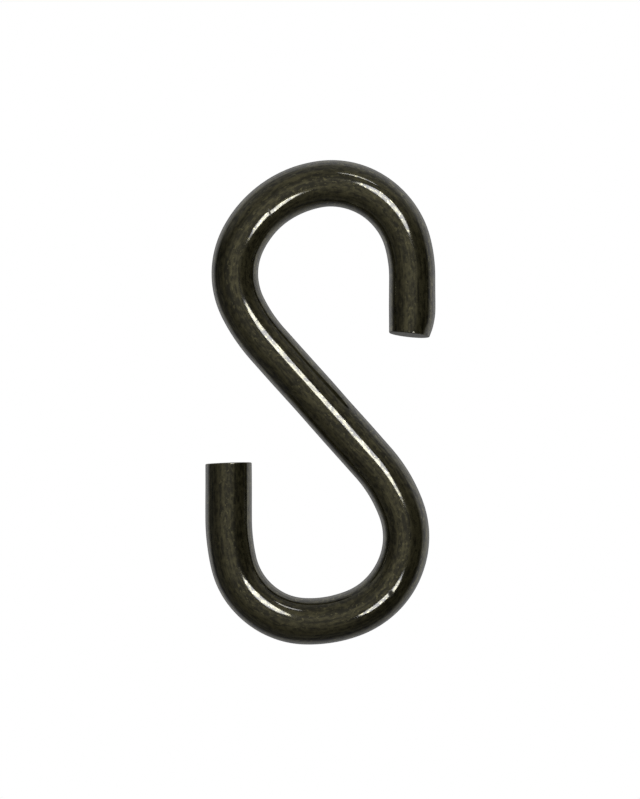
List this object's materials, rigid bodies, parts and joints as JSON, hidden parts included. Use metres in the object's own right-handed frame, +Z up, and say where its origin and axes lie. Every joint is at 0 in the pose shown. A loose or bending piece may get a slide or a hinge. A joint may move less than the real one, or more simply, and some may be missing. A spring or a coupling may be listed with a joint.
{
  "type": "s hook",
  "caption": "Round steel bar bent into an S: one open hook hangs on a rail or ring, and the opposed open hook below carries a load.",
  "frame": {"origin": "the upper seat: the highest point inside the upper hook, where a rail or ring bears", "axes": "+Z up as the hook hangs, +X towards the upper hook's leg, -Y out of the front; the bar's centreline lies in the XZ plane"},
  "size_m": [0.0393, 0.008, 0.0827],
  "materials": {
    "bronzed_steel": "dark antique bronze, brushed along the bar and clear-lacquered to a gloss"
  },
  "bodies": {
    "root": {"s_hook": "bronzed_steel"}
  },
  "joints": []
}
